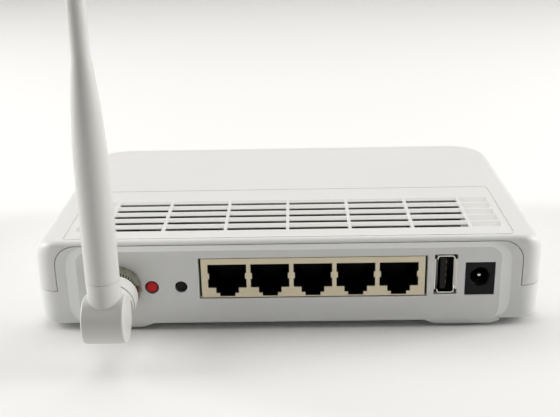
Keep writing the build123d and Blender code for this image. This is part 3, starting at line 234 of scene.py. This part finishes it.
def mixed(tree, factor, first, second):
    """Colour that goes from the first to the second with a factor."""
    mix = tree.nodes.new("ShaderNodeMix")
    mix.data_type = "RGBA"
    tree.links.new(factor, mix.inputs["Factor"])
    for socket, colour in (("A", first), ("B", second)):
        target = next(i for i in mix.inputs if i.name == socket and i.type == "RGBA")
        if isinstance(colour, tuple):
            target.default_value = colour
        else:
            tree.links.new(colour, target)
    return next(o for o in mix.outputs if o.type == "RGBA")


# --------------------------------------------------------------------------- materials
def moulded_plastic(name, colour, roughness, grain=GRAIN_DEPTH, tone=0.03, spread=0.06, gloss_level=0.5):
    """Moulded plastic: faint cloudy tone, fine spark-eroded grain and uneven gloss."""
    material, tree, shader = new_material(name)
    vary_colour(tree, shader, generated_noise(tree, CLOUD_SCALE, 4.0), colour, tone)
    gloss = generated_noise(tree, UNEVEN_GLOSS_SCALE)
    vary_roughness(tree, shader, gloss, roughness - spread, roughness + spread)
    add_bump(tree, shader, generated_noise(tree, GRAIN_SCALE, 2.0, 0.6), GRAIN_STRENGTH, grain)
    shader.inputs["Specular IOR Level"].default_value = gloss_level
    return material


def sheet_metal(name, colour, roughness, stretch=(1, 1, 1), tone=0.2, metallic=1.0):
    """Rolled or turned metal with fine scratches along one direction."""
    material, tree, shader = new_material(name)
    shader.inputs["Metallic"].default_value = metallic
    brushed = generated_noise(tree, SCRATCH_SCALE, 4.0, 0.6, stretch)
    vary_colour(tree, shader, brushed, colour, tone)
    vary_roughness(tree, shader, brushed, roughness * METAL_GLOSS_LOW, roughness * METAL_GLOSS_HIGH)
    add_bump(tree, shader, brushed, SCRATCH_STRENGTH, SCRATCH_DEPTH)
    return material


def button_plastic_painted_rim(name, node, colour, roughness, gloss_level):
    """Button cap: its own colour in the middle, with painted shade darkening its rim, where it would sit in
    its hole's shadow.
    """
    material = moulded_plastic(name, colour, roughness, tone=0.2, gloss_level=gloss_level)
    tree = material.node_tree
    target = tree.nodes["Principled BSDF"].inputs["Base Color"]
    base = target.links[0].from_socket
    # Painted shade: towards the rim the cap goes dark, as if in the shadow of its hole.
    rim = across_axis(tree, node, BUTTON_CLEAR, BUTTON_RIM)
    tree.links.new(mixed(tree, rim, base, shade(colour, BUTTON_RIM_PAINTED_SHADE)), target)
    return material


def knurled_metal_painted_roots(name, node, colour, roughness):
    """Plated nut: its plain colour on its crests, with painted shade making it dark down in the knurl and
    on its end faces.
    """
    material = sheet_metal(name, colour, roughness, (1, 0.08, 1))
    tree = material.node_tree
    target = tree.nodes["Principled BSDF"].inputs["Base Color"]
    base = target.links[0].from_socket
    # Painted shade: everything nearer the axis than the crests goes dark.
    crest = across_axis(tree, node, KNURL_ROOT, KNURL_CREST)
    tree.links.new(mixed(tree, crest, grey(KNURL_ROOT_PAINTED_SHADE), base), target)
    return material


def board_laminate(name, colour):
    """Solder mask with the raised pattern of the copper under it."""
    material, tree, shader = new_material(name)
    tracks = generated_noise(tree, TRACK_SCALE, 2.0, 0.5, TRACK_STRETCH)
    dark, light = shade(colour, TRACK_DARK), shade(colour, TRACK_LIGHT)
    pattern = ramp(tree, tracks, dark, light, *TRACK_EDGES)
    tree.links.new(pattern, shader.inputs["Base Color"])
    shader.inputs["Roughness"].default_value = BOARD_ROUGHNESS
    add_bump(tree, shader, pattern, TRACK_STRENGTH, TRACK_DEPTH)
    return material


def clear_plastic(name, colour, roughness, transmission):
    material, tree, shader = new_material(name)
    cloud = generated_noise(tree, CLEAR_CLOUD_SCALE)
    vary_colour(tree, shader, cloud, colour, CLEAR_TONE)
    vary_roughness(tree, shader, cloud, roughness * CLEAR_GLOSS_LOW, roughness * CLEAR_GLOSS_HIGH)
    shader.inputs["Transmission Weight"].default_value = transmission
    shader.inputs["IOR"].default_value = CLEAR_PLASTIC_IOR
    return material


MATERIALS = {
    "case_plastic": moulded_plastic("case_plastic", CASE_WHITE, 0.42),
    "panel_plastic": moulded_plastic("panel_plastic", PANEL_WHITE, 0.45),
    "antenna_plastic": moulded_plastic("antenna_plastic", ANTENNA_WHITE_AND_PAINTED_SHADE, 0.34, FINE_GRAIN_DEPTH),
    "nut_metal": knurled_metal_painted_roots("nut_metal", "antenna_nut", NUT_COLOUR, 0.30),
    "brass": sheet_metal("brass", BRASS_COLOUR, 0.28, (1, 0.1, 1)),
    "gold_contact": sheet_metal("gold_contact", GOLD_PAINTED_SHADE_COLOUR, 0.22, (1, 0.2, 1)),
    "insulator": moulded_plastic("insulator", FLUORO_WHITE, 0.4),
    "tin_sheet": sheet_metal("tin_sheet", TIN_COLOUR, 0.42, (0.15, 1, 1), tone=0.1, metallic=0.55),
    "nickel_sheet": sheet_metal("nickel_sheet", NICKEL_COLOUR, 0.16, (1, 1, 0.15), tone=0.08),
    "socket_plastic": moulded_plastic("socket_plastic", SOCKET_BLACK, 0.42, tone=0.3, gloss_level=0.2),
    "inlet_plastic": moulded_plastic("inlet_plastic", INLET_BLACK, 0.38, tone=0.25, gloss_level=0.2),
    "red_button": button_plastic_painted_rim("red_button", "setup_button", BUTTON_RED, 0.28, 0.3),
    "black_button": button_plastic_painted_rim("black_button", "reset_button", BUTTON_BLACK, 0.4, 0.2),
    "foot_rubber": moulded_plastic("foot_rubber", RUBBER_GREY, 0.75, COARSE_GRAIN_DEPTH, tone=0.25),
    "board_laminate": board_laminate("board_laminate", BOARD_PAINTED_SHADE_GREEN),
    "chip_epoxy": moulded_plastic("chip_epoxy", EPOXY_BLACK, 0.5, tone=0.3),
    "can_steel": sheet_metal("can_steel", STEEL_COLOUR, 0.3, (0.2, 1, 1)),
    "screw_steel": sheet_metal("screw_steel", STEEL_COLOUR, 0.33, (1, 1, 0.3)),
    "smoked_window": moulded_plastic("smoked_window", WINDOW_SMOKE, 0.12, tone=0.2),
    "clear_guide": clear_plastic("clear_guide", GUIDE_CLEAR, 0.3, 0.85),
    "led_body": clear_plastic("led_body", LAMP_CLEAR, 0.2, 0.4),
    "capacitor_can": sheet_metal("capacitor_can", STEEL_COLOUR, 0.3, (1, 1, 0.1)),
    "ceramic": moulded_plastic("ceramic", CERAMIC_BROWN, 0.6, tone=0.3),
    "cable_jacket": moulded_plastic("cable_jacket", JACKET_BROWN, 0.4, tone=0.3),
}
FINISH_OF_NODE = {"inlet_body": "inlet_plastic", "bottom_shell": "panel_plastic"}


def dress_nodes():
    """Every CAD node gets the finish of its material slot, or the one named for it above."""
    for part in frame["record"]["subparts"]:
        node = NODES[part["node"]]
        finish = MATERIALS[FINISH_OF_NODE.get(part["node"], part["material_slot"])]
        if not node.data.materials:
            node.data.materials.append(finish)
        for index in range(len(node.material_slots)):
            node.material_slots[index].link = "OBJECT"
            node.material_slots[index].material = finish


# ------------------------------------------------------ plain numbers on the rear panel
NUMERAL_HEIGHT = 1.5 * MM
FONT_SIZE_PER_HEIGHT = 1.4
NUMERAL_RELIEF = 0.06 * MM
NUMERAL_Z = 7.75 * MM
PORT_PITCH = 13.97 * MM
PORTS = 5
NUMBERED_PORTS = 4


def numeral(text, x):
    """A plain raised number under a socket."""
    data = bpy.data.curves.new("numeral_" + text, "FONT")
    data.body = text
    data.size = NUMERAL_HEIGHT * FONT_SIZE_PER_HEIGHT
    data.extrude = NUMERAL_RELIEF
    data.align_x = "CENTER"
    data.materials.append(MATERIALS["panel_plastic"])
    piece = bpy.data.objects.new("numeral_" + text, data)
    piece.location = (x, REAR_Y, NUMERAL_Z)
    piece.rotation_euler = (math.pi / 2, 0, 0)
    scene.collection.objects.link(piece)
    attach(piece, "housing")


def make_numerals():
    low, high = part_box("port_shield")
    first = (low.x + high.x) / 2 - (PORTS - 1) / 2 * PORT_PITCH
    for place in range(NUMBERED_PORTS):
        numeral(str(NUMBERED_PORTS - place), first + place * PORT_PITCH)


# ----------------------------------------------------------------------- stage and light
FLOOR_REACH = 3.0
FLOOR_COLOUR = 0.82
FLOOR_SEEN = 0.90
FLOOR_ROUGHNESS = 0.9
LAMP_COLOUR = (1.0, 0.99, 0.965)
TENT_FRONT = 0.118
TENT_BACK = 0.25
TENT_FRONT_AT = -0.4
TENT_BACK_AT = 0.5
OVERHEAD_PLACE = (0, 0.36, 0.93)
OVERHEAD_TARGET = (0, 0.10, 0)
OVERHEAD_SIZE = (1.6, 1.1)
OVERHEAD_POWER = 6.8
SIDE_REACH = 0.95
SIDE_Y = 0.08
SIDE_Z = 0.38
SIDE_TARGET = (0, -0.03, 0.04)
SIDE_SIZE = (0.5, 0.5)
LEFT_POWER = 7.5
RIGHT_POWER = 7.3


def make_floor():
    """Flat white floor, which the camera sees a little brighter than the light it gives back."""
    data = bpy.data.meshes.new("floor")
    r = FLOOR_REACH
    data.from_pydata([(-r, -r, 0), (r, -r, 0), (r, r, 0), (-r, r, 0)], [], [(0, 1, 2, 3)])
    floor = bpy.data.objects.new("floor", data)
    scene.collection.objects.link(floor)
    material, tree, shader = new_material("floor")
    path = tree.nodes.new("ShaderNodeLightPath")
    seen = ramp(tree, path.outputs["Is Camera Ray"], grey(FLOOR_COLOUR), grey(FLOOR_SEEN), 0.0, 1.0)
    tree.links.new(seen, shader.inputs["Base Color"])
    shader.inputs["Roughness"].default_value = FLOOR_ROUGHNESS
    floor.data.materials.append(material)


def make_world():
    """Light tent: brighter beyond the object, and dim on the side where the camera stands."""
    world = bpy.data.worlds.new("world")
    scene.world = world
    world.use_nodes = True
    tree = world.node_tree
    direction = tree.nodes.new("ShaderNodeTexCoord")
    parts = tree.nodes.new("ShaderNodeSeparateXYZ")
    spread = tree.nodes.new("ShaderNodeMapRange")
    spread.interpolation_type = "SMOOTHSTEP"
    spread.inputs["From Min"].default_value = TENT_FRONT_AT
    spread.inputs["From Max"].default_value = TENT_BACK_AT
    spread.inputs["To Min"].default_value = TENT_FRONT
    spread.inputs["To Max"].default_value = TENT_BACK
    tree.links.new(direction.outputs["Generated"], parts.inputs["Vector"])
    tree.links.new(parts.outputs["Y"], spread.inputs["Value"])
    background = tree.nodes["Background"]
    background.inputs["Color"].default_value = (*LAMP_COLOUR, 1)
    tree.links.new(spread.outputs["Result"], background.inputs["Strength"])


def area_light(name, place, target, size, power):
    data = bpy.data.lights.new(name, "AREA")
    data.shape = "RECTANGLE"
    data.size, data.size_y = size
    data.energy = power
    data.color = LAMP_COLOUR
    light = bpy.data.objects.new(name, data)
    light.location = place
    direction = Vector(target) - Vector(place)
    light.rotation_euler = direction.to_track_quat("-Z", "Y").to_euler()
    scene.collection.objects.link(light)


def make_lights():
    """Soft light from above and beyond the object, and stronger light from both sides."""
    area_light("overhead", OVERHEAD_PLACE, OVERHEAD_TARGET, OVERHEAD_SIZE, OVERHEAD_POWER)
    for name, x, power in (("left_side", -SIDE_REACH, LEFT_POWER), ("right_side", SIDE_REACH, RIGHT_POWER)):
        area_light(name, (x, SIDE_Y, SIDE_Z), SIDE_TARGET, SIDE_SIZE, power)


make_camera()
dress_nodes()
make_numerals()
make_floor()
make_world()
make_lights()

scene.view_settings.view_transform = "Standard"
